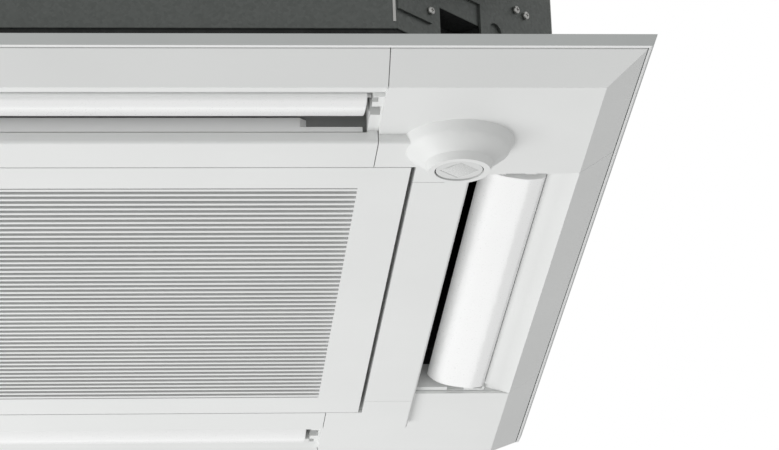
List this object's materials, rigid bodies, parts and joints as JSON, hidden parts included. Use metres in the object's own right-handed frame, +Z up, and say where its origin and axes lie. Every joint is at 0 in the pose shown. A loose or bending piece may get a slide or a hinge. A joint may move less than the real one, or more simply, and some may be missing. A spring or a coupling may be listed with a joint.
{
  "type": "ceiling cassette air conditioner",
  "caption": "Square ceiling cassette air conditioner: flat decoration panel with an intake grille, an outlet vane on each side and a round sensor, under a chamfered body with hanging brackets.",
  "frame": {"origin": "centre of the four suspension slots, on the underside of the hanging brackets", "axes": "+Z up to the ceiling slab, +X to the right along the panel's near edge, +Y away from it; the sensor is in the +X -Y corner and the pipes leave on the -X side"},
  "size_m": [0.95, 0.95, 0.3278],
  "materials": {
    "silver_rim": "satin",
    "panel_white": "fine matt",
    "vane_white": "gloss",
    "sensor_white": "semi-gloss",
    "sensor_window": "milky",
    "grey_plastic": "matt",
    "fan_plastic": "matt",
    "filter_mesh": "woven",
    "black_foam": "foam",
    "zinc": "zinc plated",
    "galvanised": "galvanised",
    "copper": "drawn",
    "brass": "turned",
    "aluminium": "bright",
    "board_green": "solder mask"
  },
  "bodies": {
    "unit": {"bellmouth": "grey_plastic", "body_insulation": "black_foam", "bracket_screws": "zinc", "cable_gland": "fan_plastic", "circuit_board": "board_green", "coil_end_plates": "zinc", "coil_fins": "aluminium", "coil_tubes": "copper", "control_box": "galvanised", "control_box_cover": "galvanised", "corner_cover_far_left": "panel_white", "corner_cover_far_right": "panel_white", "corner_cover_near_left": "panel_white", "corner_cover_near_right": "panel_white", "corner_plates": "galvanised", "drain_pan": "black_foam", "drain_pump": "fan_plastic", "drain_spigot": "grey_plastic", "fan_motor": "zinc", "flare_nuts": "brass", "float_switch": "grey_plastic", "gas_pipe": "copper", "hanging_bracket_far_left": "galvanised", "hanging_bracket_far_right": "galvanised", "hanging_bracket_near_left": "galvanised", "hanging_bracket_near_right": "galvanised", "liquid_pipe": "copper", "motor_legs": "zinc", "panel_frame": "panel_white", "panel_rim": "silver_rim", "panel_screws": "zinc", "panel_seal": "black_foam", "pipe_plate": "galvanised", "sensor_motor": "grey_plastic", "side_plate_far": "galvanised", "side_plate_left": "galvanised", "side_plate_near": "galvanised", "side_plate_right": "galvanised", "terminal_block": "fan_plastic", "top_plate": "galvanised", "vane_motor_far": "grey_plastic", "vane_motor_left": "grey_plastic", "vane_motor_near": "grey_plastic", "vane_motor_right": "grey_plastic"},
    "grille": {"intake_grille": "panel_white", "grille_hinge_pins": "zinc", "filter_frame": "grey_plastic", "filter_mesh": "filter_mesh"},
    "latch_near": {"grille_latch_near": "panel_white"},
    "latch_far": {"grille_latch_far": "panel_white"},
    "sensor": {"sensor_head": "sensor_white", "sensor_window": "sensor_window"},
    "fan": {"turbo_fan": "fan_plastic", "fan_shaft": "zinc"},
    "impeller": {"pump_impeller": "grey_plastic"},
    "float": {"float": "grey_plastic"},
    "vane_near": {"vane_near": "vane_white"},
    "vane_right": {"vane_right": "vane_white"},
    "vane_far": {"vane_far": "vane_white"},
    "vane_left": {"vane_left": "vane_white"}
  },
  "joints": [
    {"name": "grille_hinge", "type": "hinge", "parent": "unit", "child": "grille", "pos_m": [0.2928, 0, -0.152], "axis": [0, -1, 0], "range_deg": [0, 90]},
    {"name": "latch_near_slide", "type": "slide", "parent": "grille", "child": "latch_near", "axis": [-1, 0, 0], "range_m": [0, 0.007]},
    {"name": "latch_far_slide", "type": "slide", "parent": "grille", "child": "latch_far", "axis": [-1, 0, 0], "range_m": [0, 0.007]},
    {"name": "sensor_turn", "type": "hinge", "parent": "unit", "child": "sensor", "pos_m": [0.3318, -0.332, -0.17], "axis": [0, 0, 1], "range_deg": [-170, 170]},
    {"name": "fan_spin", "type": "hinge", "parent": "unit", "child": "fan", "pos_m": [0, 0, 0.03], "axis": [0, 0, 1], "continuous": true},
    {"name": "impeller_spin", "type": "hinge", "parent": "unit", "child": "impeller", "pos_m": [-0.312, 0.312, -0.05], "axis": [0, 0, 1], "continuous": true},
    {"name": "float_lift", "type": "slide", "parent": "unit", "child": "float", "axis": [0, 0, 1], "range_m": [0, 0.018]},
    {"name": "vane_near_hinge", "type": "hinge", "parent": "unit", "child": "vane_near", "pos_m": [0, -0.387, -0.1315], "axis": [1, 0, 0], "range_deg": [0, 65]},
    {"name": "vane_right_hinge", "type": "hinge", "parent": "unit", "child": "vane_right", "pos_m": [0.387, 0, -0.1315], "axis": [0, 1, 0], "range_deg": [0, 65]},
    {"name": "vane_far_hinge", "type": "hinge", "parent": "unit", "child": "vane_far", "pos_m": [0, 0.387, -0.1315], "axis": [-1, 0, 0], "range_deg": [0, 65]},
    {"name": "vane_left_hinge", "type": "hinge", "parent": "unit", "child": "vane_left", "pos_m": [-0.387, 0, -0.1315], "axis": [0, -1, 0], "range_deg": [0, 65]}
  ]
}
